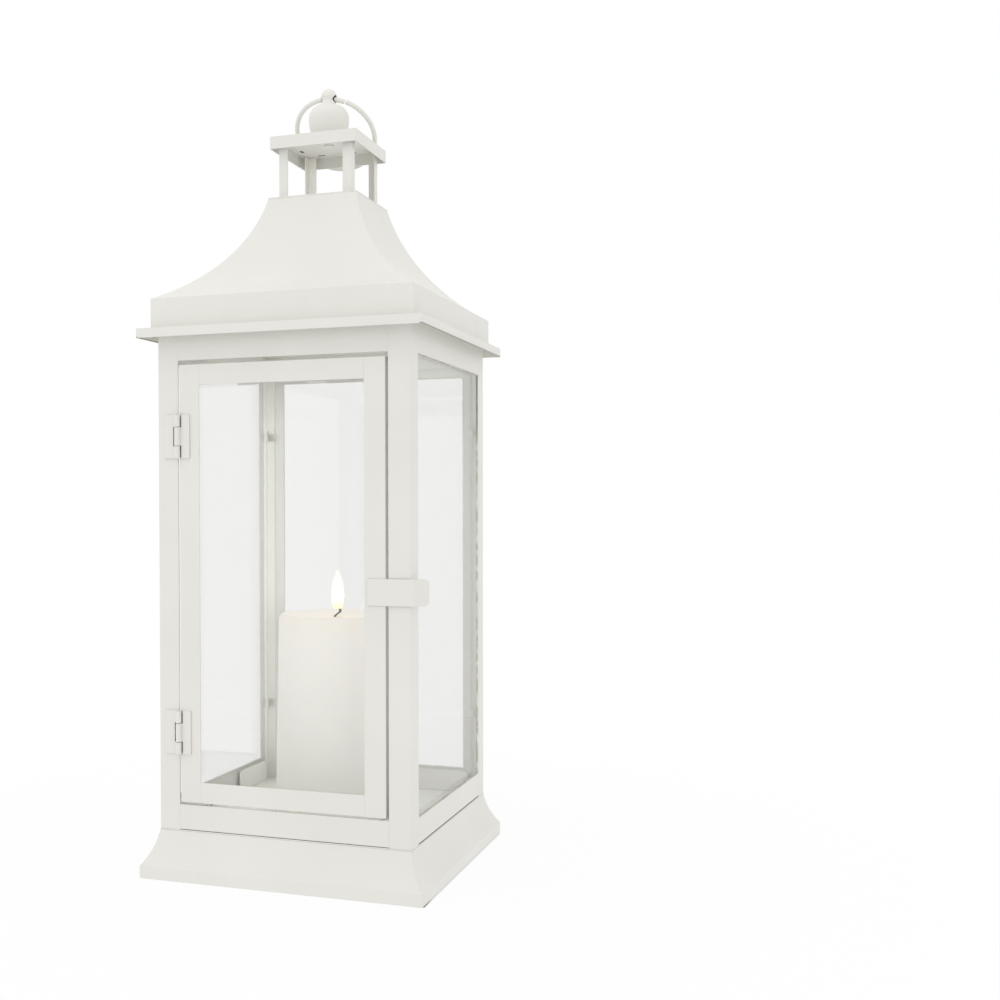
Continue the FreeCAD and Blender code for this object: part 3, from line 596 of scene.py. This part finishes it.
def sealant():
    """Smeared sealant: grey-green, cloudy, pale where paint has run over it, with painted shade high on
    upright runs.
    """
    finish = Finish("sealant")
    smear = finish.ease(finish.noise(120, 3), 0.35, 0.65)
    lump = finish.noise(600, 2)
    painted = finish.ease(finish.noise(140, 4), 0.42, 0.64)
    clean = finish.ease(finish.axis("X"), 0.9 * PANE_FACE, 0.8 * PANE_FACE)
    upright = finish.ease(abs(finish.axis("Y")), OPENING_HALF - 2 * MM, OPENING_HALF - 1 * MM)
    high = finish.ease(finish.axis("Z"), OPENING_HEAD - 50 * MM, OPENING_HEAD - 30 * MM)
    tone = finish.mix(smear, colour(164, 163, 150), colour(194, 193, 178))
    tone = finish.mix(upright * 0.5, tone, colour(210, 209, 197))
    tone = finish.mix(painted * upright * 0.85, tone, colour(234, 233, 227))
    # Painted shade on the upper part of the upright runs
    tone = finish.mix(high * upright * 0.8, tone, colour(116, 116, 106))
    tone = finish.mix(clean * 0.9, tone, colour(236, 235, 229))
    return finish.principled(
        Base_Color=tone,
        Roughness=0.35 + lump * 0.25,
        Normal=finish.bump(lump, 0.1 * MM),
    )


def moulded(name, low, high, rub):
    """Moulded plastic: fine spark texture, faint flow marks, rubbed edges."""
    finish = Finish(name)
    grain = finish.noise(900, 3)
    flow = finish.noise(40, 3, (1.0, 1.0, 0.3))
    edge = finish.ease(finish.edges(0.6 * MM), 0.05, 0.4)
    tone = finish.mix(flow, low, high)
    tone = finish.mix(edge * 0.4, tone, rub)
    return finish.principled(
        Base_Color=tone,
        Roughness=0.48 + grain * 0.15 - edge * 0.12,
        Normal=finish.bump(grain, 0.03 * MM),
    )


def cell_jacket():
    """Plain shrink wrap: dark satin with faint lengthwise ripples and a scuffed rim."""
    finish = Finish("cell_jacket")
    ripple = finish.noise(500, 2, (1.0, 1.0, 0.08))
    scuff = finish.ease(finish.noise(240, 4), 0.58, 0.72)
    edge = finish.ease(finish.edges(0.8 * MM), 0.05, 0.4)
    tone = finish.mix(ripple, colour(44, 45, 48), colour(58, 59, 62))
    tone = finish.mix((scuff * 0.25).larger(edge * 0.5), tone, colour(140, 140, 138))
    return finish.principled(
        Base_Color=tone,
        Roughness=0.28 + scuff * 0.3,
        Normal=finish.bump(ripple, 0.03 * MM),
    )


def board_laminate():
    """Green solder mask over copper runs, with a glass weave."""
    finish = Finish("board_laminate")
    runs = finish.node(
        "ShaderNodeTexBrick",
        {"offset": 0.5},
        {"Vector": finish.place, "Scale": 260.0, "Mortar Size": 0.06, "Mortar Smooth": 0.2},
        output="Fac",
    )
    weave = finish.noise(1800, 1)
    tone = finish.mix(weave, colour(28, 92, 56), colour(36, 108, 66))
    tone = finish.mix(runs * 0.6, tone, colour(62, 140, 84))
    return finish.principled(
        Base_Color=tone,
        Roughness=0.3 + weave * 0.15,
        Normal=finish.bump(runs + weave * 0.2, 0.04 * MM),
    )


def zinc_steel():
    """Bright zinc on steel: fine turned lines, pale blue-grey blooms, worn edges."""
    finish = Finish("steel")
    lines = finish.noise(1400, 2, (1.0, 1.0, 6.0))
    bloom = finish.noise(180, 4)
    edge = finish.ease(finish.edges(0.4 * MM), 0.05, 0.4)
    tone = finish.mix(bloom, colour(190, 190, 186), colour(168, 170, 172))
    tone = finish.mix(edge * 0.6, tone, colour(220, 219, 214))
    return finish.principled(
        Base_Color=tone,
        Metallic=1.0,
        Roughness=0.26 + bloom * 0.2,
        Normal=finish.bump(lines, 0.015 * MM),
    )


def case_plastic():
    """Cream plastic of the battery case."""
    return moulded("case_plastic", colour(226, 222, 212), colour(218, 214, 203), colour(236, 233, 226))


def switch_plastic():
    """Black plastic of the slide switch."""
    return moulded("switch_plastic", colour(40, 40, 41), colour(52, 52, 53), colour(92, 92, 92))


FINISHES = {
    "white_paint": white_paint(),
    "clear_glass": clear_glass(),
    "ivory_wax": ivory_wax(),
    "flame_plastic": flame_plastic(),
    "dark_wick": dark_wick(),
    "led_resin": led_resin(),
    "sealant": sealant(),
    "case_plastic": case_plastic(),
    "cell_jacket": cell_jacket(),
    "board_laminate": board_laminate(),
    "switch_plastic": switch_plastic(),
    "steel": zinc_steel(),
}
SLOTS = {part["node"]: part["material_slot"] for part in frame["record"]["subparts"]}
BODIES = {
    node: body
    for body, nodes in frame["record"]["behaviour"]["bodies"].items()
    for node in nodes
}


# Modelling

def clear_selection():
    bpy.ops.object.select_all(action="DESELECT")


def edit(piece):
    """Open a piece in edit mode, alone and all selected."""
    clear_selection()
    piece.select_set(True)
    bpy.context.view_layer.objects.active = piece
    bpy.ops.object.mode_set(mode="EDIT")
    bpy.ops.mesh.select_all(action="SELECT")


def close_edit():
    bpy.ops.object.mode_set(mode="OBJECT")


def select_faces(piece, wanted):
    """Select the faces that answer a question, and leave the piece open in edit mode."""
    bpy.ops.mesh.select_all(action="DESELECT")
    close_edit()
    for face in piece.data.polygons:
        face.select = wanted(face)
    bpy.ops.object.mode_set(mode="EDIT")
    bpy.ops.mesh.select_mode(type="FACE")


def select_edges(piece, wanted):
    """Select the edges whose two ends answer a question, and leave the piece open in edit mode."""
    bpy.ops.mesh.select_mode(type="EDGE")
    bpy.ops.mesh.select_all(action="DESELECT")
    close_edit()
    points = piece.data.vertices
    for edge in piece.data.edges:
        edge.select = wanted(*[points[index].co for index in edge.vertices])
    bpy.ops.object.mode_set(mode="EDIT")


def new_piece(name):
    """Name the primitive that was just added, and its mesh."""
    piece = bpy.context.object
    piece.name = name
    piece.data.name = name
    return piece


def apply_modifier(piece, kind, **settings):
    """Add a modifier, set it and apply it."""
    modifier = piece.modifiers.new(kind.lower(), kind)
    for name, setting in settings.items():
        setattr(modifier, name, setting)
    bpy.context.view_layer.objects.active = piece
    bpy.ops.object.modifier_apply(modifier=modifier.name)


def smooth(piece, turn):
    """Shade a piece smooth up to a turn between faces, sharp beyond it."""
    clear_selection()
    piece.select_set(True)
    bpy.context.view_layer.objects.active = piece
    bpy.ops.object.shade_smooth_by_angle(angle=turn)


def settle(piece, body, slot, *nodes):
    """Give a finished piece its finish, its body and the solids that it stands for."""
    piece.data.materials.clear()
    piece.data.materials.append(FINISHES[slot])
    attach(piece, body)
    if nodes:
        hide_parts(*nodes)


def merged_copy(node):
    """A copy of a solid's mesh with its loose triangles joined into whole faces."""
    clear_selection()
    piece = bpy.data.objects.new(node + "_dressed", frame["nodes"][node].data.copy())
    bpy.context.scene.collection.objects.link(piece)
    edit(piece)
    bpy.ops.mesh.remove_doubles(threshold=0.001 * MM)
    bpy.ops.mesh.customdata_custom_splitnormals_clear()
    bpy.ops.mesh.dissolve_limited(angle_limit=math.radians(0.4))
    close_edit()
    return piece


def quarter(piece):
    """Split the ring-shaped faces of a tray along its middle lines, and drop the seams between."""
    edit(piece)
    for across in ((1, 0, 0), (0, 1, 0)):
        bpy.ops.mesh.select_all(action="SELECT")
        bpy.ops.mesh.bisect(plane_co=(0, 0, 0), plane_no=across)
    bpy.ops.mesh.select_mode(type="EDGE")
    bpy.ops.mesh.select_all(action="DESELECT")
    close_edit()
    sides = {}
    for face in piece.data.polygons:
        for key in face.edge_keys:
            sides.setdefault(key, []).append(face.normal)
    points = piece.data.vertices
    for edge in piece.data.edges:
        run = points[edge.vertices[0]].co - points[edge.vertices[1]].co
        slanted = abs(run.x) > 0.01 * MM and abs(run.y) > 0.01 * MM
        first, second = sides[edge.key]
        edge.select = slanted and first.dot(second) > 0.9999
    bpy.ops.object.mode_set(mode="EDIT")
    bpy.ops.mesh.dissolve_edges(use_verts=False)
    close_edit()


def round_bends(piece, radius):
    """Round the upright bends of a sheet part, outside and inside."""
    reach = max(abs(point.co.x) for point in piece.data.vertices)
    edit(piece)
    for depth in (0, SHEET):
        def bend(low, high):
            upright = (low - high).xy.length < 0.01 * MM and (low - high).length > 2 * MM
            square = abs(abs(low.x) - abs(low.y)) < 0.01 * MM
            return upright and square and abs(abs(low.x) - reach + depth) < 0.01 * MM

        select_edges(piece, bend)
        bpy.ops.mesh.bevel(offset=max(radius - depth, 0.2 * MM), segments=5)
    close_edit()


def cut_slots(piece):
    """Sink the tab slots into the underside of the chimney cap."""
    cutters = []
    for side in range(4):
        turn = side * math.pi / 2
        for across, along, wide, deep in SLOTS_IN_CAP:
            place = Matrix.Rotation(turn, 4, "Z") @ Vector((across * MM, along * MM, 0))
            clear_selection()
            bpy.ops.mesh.primitive_cube_add(size=1, location=(place.x, place.y, CAP_UNDERSIDE))
            cutter = bpy.context.object
            cutter.scale = (wide * MM, deep * MM, 2 * SLOT_DEPTH)
            cutter.rotation_euler = (0, 0, turn)
            bpy.ops.object.transform_apply()
            cutters.append(cutter)
    for cutter in cutters:
        apply_modifier(piece, "BOOLEAN", operation="DIFFERENCE", object=cutter)
        bpy.data.objects.remove(cutter)


def rounded_sheet(node, width=SHEET_ROUND, bend=0):
    """Dress a sheet part with edges that are rounded as a thick coat of paint leaves them."""
    piece = merged_copy(node)
    if bend:
        quarter(piece)
        round_bends(piece, bend)
    if node == "chimney_cap":
        cut_slots(piece)
    smooth(piece, math.pi)
    apply_modifier(
        piece,
        "BEVEL",
        width=width,
        segments=2,
        limit_method="ANGLE",
        angle_limit=SHARP_TURN,
        use_clamp_overlap=False,
        harden_normals=True,
        miter_outer="MITER_ARC",
    )
    settle(piece, BODIES[node], SLOTS[node], node)
    return piece


def smooth_copy(node, turn):
    """Dress a turned part with even shading."""
    piece = merged_copy(node)
    smooth(piece, turn)
    settle(piece, BODIES[node], SLOTS[node], node)


def carry_ring():
    """A wire ring with a butt gap beside the finial, its ends filed round and a little out of line."""
    gap = RING_GAP / RING_RADIUS
    start = math.radians(RING_GAP_TURN) + gap / 2
    clear_selection()
    bpy.ops.mesh.primitive_circle_add(
        vertices=RING_SIDES,
        radius=RING_WIRE / 2,
        fill_type="NGON",
        location=(RING_RADIUS * math.cos(start), RING_RADIUS * math.sin(start), 0),
        rotation=(math.pi / 2, 0, start),
    )
    piece = new_piece("ring_wire")
    bpy.ops.object.transform_apply()
    edit(piece)
    bpy.ops.mesh.spin(steps=RING_STEPS, angle=2 * math.pi - gap, center=(0, 0, 0), axis=(0, 0, 1))
    bpy.ops.transform.translate(
        value=(0, 0, RING_MISMATCH),
        use_proportional_edit=True,
        use_proportional_connected=True,
        proportional_size=RING_RADIUS,
    )
    bpy.ops.mesh.select_all(action="SELECT")
    bpy.ops.mesh.normals_make_consistent(inside=False)
    select_faces(piece, lambda face: len(face.vertices) == RING_SIDES)
    bpy.ops.mesh.region_to_loop()
    bpy.ops.mesh.bevel(offset=0.4 * MM, segments=3)
    close_edit()
    piece.rotation_euler = (-math.radians(RING_LEAN), 0, 0)
    piece.location = RING_CENTRE
    bpy.ops.object.transform_apply()
    smooth(piece, math.radians(50))
    settle(piece, "ring", "white_paint", "carry_ring")


def seal_run(length, place, upright, turn):
    """One straight run of sealant along a pane's edge, laid in front and then turned to its side."""
    clear_selection()
    bpy.ops.mesh.primitive_cylinder_add(
        vertices=10,
        radius=BEAD_RADIUS,
        depth=length,
        location=place,
        rotation=(0, 0 if upright else math.pi / 2, 0),
    )
    run = bpy.context.object
    bpy.ops.object.transform_apply()
    run.rotation_euler = (0, 0, math.radians(turn))
    bpy.ops.object.transform_apply()
    edit(run)
    select_edges(run, lambda start, end: (start - end).length > length / 2)
    bpy.ops.mesh.subdivide(number_cuts=round(length / BEAD_STEP))
    close_edit()
    return run


def pane_sealant():
    """Uneven beads of sealant where the fixed panes meet their frames."""
    ripple = bpy.data.textures.new("bead_ripple", "CLOUDS")
    ripple.noise_scale = 4 * MM
    across = OPENING_HALF - BEAD_INSET
    face = -PANE_FACE - BEAD_INSET / 2
    middle = (OPENING_FOOT + OPENING_HEAD) / 2
    runs = []
    for turn in PANE_TURNS.values():
        for x in (-across, across):
            runs.append(seal_run(OPENING_HEAD - OPENING_FOOT, (x, face, middle), True, turn))
        for z in (OPENING_FOOT + BEAD_INSET, OPENING_HEAD - BEAD_INSET):
            runs.append(seal_run(2 * OPENING_HALF, (0, face, z), False, turn))
    clear_selection()
    for run in runs:
        run.select_set(True)
    bpy.ops.object.join()
    piece = new_piece("sealant_beads")
    apply_modifier(piece, "DISPLACE", texture=ripple, strength=BEAD_RIPPLE, texture_coords="LOCAL")
    smooth(piece, MELTED_TURN)
    settle(piece, "frame", "sealant", "pane_seals")


def solder_dots():
    """Painted drops of solder between the pane clips and the posts."""
    clear_selection()
    bpy.ops.mesh.primitive_uv_sphere_add(segments=14, ring_count=8, radius=DOT_RADIUS)
    drop = new_piece("solder_drop")
    edit(drop)
    bpy.ops.transform.resize(value=(1.0, 0.55, 1.2))
    bpy.ops.mesh.bisect(plane_co=(0, 0, 0), plane_no=(0, 1, 0), clear_inner=True, use_fill=True)
    close_edit()
    smooth(drop, MELTED_TURN)
    for side, turn in PANE_TURNS.items():
        for hand in (-1, 1):
            for row, level in enumerate(DOT_LEVELS):
                clear_selection()
                name = f"clip_solder_{side}_{'left' if hand < 0 else 'right'}_{row}"
                piece = bpy.data.objects.new(name, drop.data.copy())
                bpy.context.scene.collection.objects.link(piece)
                piece.select_set(True)
                bpy.context.view_layer.objects.active = piece
                piece.location = (hand * DOT_PLACE, -PANE_FACE, level)
                bpy.ops.object.transform_apply()
                piece.rotation_euler = (0, 0, math.radians(turn))
                bpy.ops.object.transform_apply()
                settle(piece, "frame", "white_paint")
    bpy.data.objects.remove(drop)


def flame_core():
    """The lit core inside the flame's shell: a drop drawn out to a point."""
    belly = (CANDLE_X, 0, CORE_BELLY)
    clear_selection()
    bpy.ops.mesh.primitive_uv_sphere_add(segments=24, ring_count=16, radius=CORE_RADIUS, location=belly)
    piece = new_piece("flame_core")
    bpy.ops.object.transform_apply()
    edit(piece)
    bpy.ops.transform.resize(value=(1.0, 1.0, CORE_STRETCH), center_override=belly)
    select_faces(piece, lambda face: face.center.z > CORE_BELLY + CORE_SHOULDER)
    bpy.ops.transform.translate(
        value=(0, 0, CORE_DRAW),
        use_proportional_edit=True,
        proportional_edit_falloff="SMOOTH",
        proportional_size=CORE_REACH,
    )
    bpy.ops.transform.resize(value=(0.45, 0.45, 1.0), center_override=belly)
    close_edit()
    apply_modifier(piece, "SUBSURF", levels=1, render_levels=1)
    smooth(piece, MELTED_TURN)
    settle(piece, "candle", "led_resin")


def candle_wick():
    """A charred cord that curls from the wax up to the flame."""
    clear_selection()
    bpy.ops.mesh.primitive_circle_add(
        vertices=14,
        radius=WICK_RADIUS,
        fill_type="NGON",
        location=(CANDLE_X - 2.2 * MM, 0, WICK_FOOT),
    )
    piece = new_piece("curled_wick")
    bpy.ops.object.transform_apply()
    edit(piece)
    for run, rise, swell in WICK_STEPS:
        bpy.ops.mesh.extrude_region_move(TRANSFORM_OT_translate={"value": (run * MM, 0, rise * MM)})
        bpy.ops.transform.resize(value=(swell, swell, 1.0))
    bpy.ops.mesh.select_all(action="SELECT")
    bpy.ops.mesh.normals_make_consistent(inside=False)
    close_edit()
    apply_modifier(piece, "SUBSURF", levels=2, render_levels=2)
    smooth(piece, MELTED_TURN)
    settle(piece, "candle", "dark_wick", "candle_wick")


# Stage

def floor():
    """A pale floor that shows white in the picture and still takes the lantern's shadow, with a painted
    contact shadow under the foot and along its left and right edges.
    """
    clear_selection()
    bpy.ops.mesh.primitive_plane_add(size=8, location=(0, 0, -FLOOR_DROP))
    board = new_piece("floor")
    finish = Finish("floor")
    mottle = finish.noise(6, 3)
    plain = 0.91 + finish.ease(finish.length(finish.place), 0.15, 0.6) * 0.09
    # Painted contact shadow under the foot and just beside its left and right edges, darkest towards the
    # front
    under = finish.near(finish.axis("X"), FOOT_HALF, FOOT_HALF + CONTACT_SHADOW)
    under = under * finish.near(finish.axis("Y"), FOOT_HALF - 2 * MM, FOOT_HALF - 1 * MM)
    under = under * (0.45 + finish.ease(finish.axis("Y"), *CONTACT_SHADOW_FADE) * 0.55)
    tone = finish.mix(mottle, colour(244, 244, 243), colour(240, 240, 239))
    tone = finish.mix(under, tone, colour(104, 102, 96))
    matt = finish.node("ShaderNodeBsdfDiffuse", sockets={"Color": tone})
    white = finish.node("ShaderNodeEmission")
    seen = finish.seen()
    amount = (seen * plain + (1 - seen) * FLOOR_GLOW) * (1 - under * 0.9)
    paper = finish.node("ShaderNodeMixShader", sockets={0: amount, 1: matt, 2: white})
    board.data.materials.append(finish.surface(paper))


def studio():
    """White surroundings that light the lantern evenly, two soft lamps, and two for back pieces alone."""
    scene = bpy.context.scene
    scene.view_settings.view_transform = "Standard"
    scene.world = bpy.data.worlds.new("studio")
    nodes = Nodes(scene.world)
    strength = WORLD_LIGHT + nodes.seen() * (1 - WORLD_LIGHT)
    white = nodes.node("ShaderNodeBackground", sockets={"Color": (1, 1, 1, 1), "Strength": strength})
    nodes.node("ShaderNodeOutputWorld", sockets={"Surface": white})

    for name, (place, size, watts, starts) in LAMPS.items():
        clear_selection()
        bpy.ops.object.light_add(type="AREA", location=place)
        lamp = bpy.context.object
        lamp.name = name
        lamp.data.energy = watts
        lamp.data.size = size
        lamp.visible_glossy = False
        lamp.rotation_euler = (Vector(LOOK_AT) - Vector(place)).to_track_quat("-Z", "Y").to_euler()
        if starts:
            lamp.light_linking.receiver_collection = bpy.data.collections.new(name)
            for piece in scene.objects:
                if piece.name.startswith(starts):
                    lamp.light_linking.receiver_collection.objects.link(piece)


def camera():
    """The camera that took the photograph."""
    lens = bpy.data.cameras.new("camera")
    lens.sensor_width = SENSOR_MM
    lens.lens = FOCAL_PIXELS / IMAGE_PIXELS * SENSOR_MM
    lens.shift_x = 0.5 - AXIS_PIXEL[0] / IMAGE_PIXELS
    lens.shift_y = AXIS_PIXEL[1] / IMAGE_PIXELS - 0.5
    viewer = bpy.data.objects.new("camera", lens)
    viewer.location = CAMERA_PLACE
    viewer.rotation_euler = [math.radians(turn) for turn in CAMERA_TURN]
    bpy.context.scene.collection.objects.link(viewer)
    bpy.context.scene.camera = viewer


for node, solid in frame["nodes"].items():
    solid.data.materials.clear()
    solid.data.materials.append(FINISHES[SLOTS[node]])

for node in sorted(SLOTS):
    if node in TURNED:
        smooth_copy(node, ROUND_TURN)
    elif SLOTS[node] == "clear_glass":
        rounded_sheet(node, GLASS_ROUND).visible_shadow = False
    elif SLOTS[node] == "white_paint" and node not in MADE_NEW:
        bends = [radius for start, radius in BENDS.items() if node.startswith(start)]
        rounded_sheet(node, FINE_ROUND if node.startswith(FINE_EDGED) else SHEET_ROUND, *bends)

carry_ring()
pane_sealant()
solder_dots()
flame_core()
candle_wick()
floor()
studio()
camera()
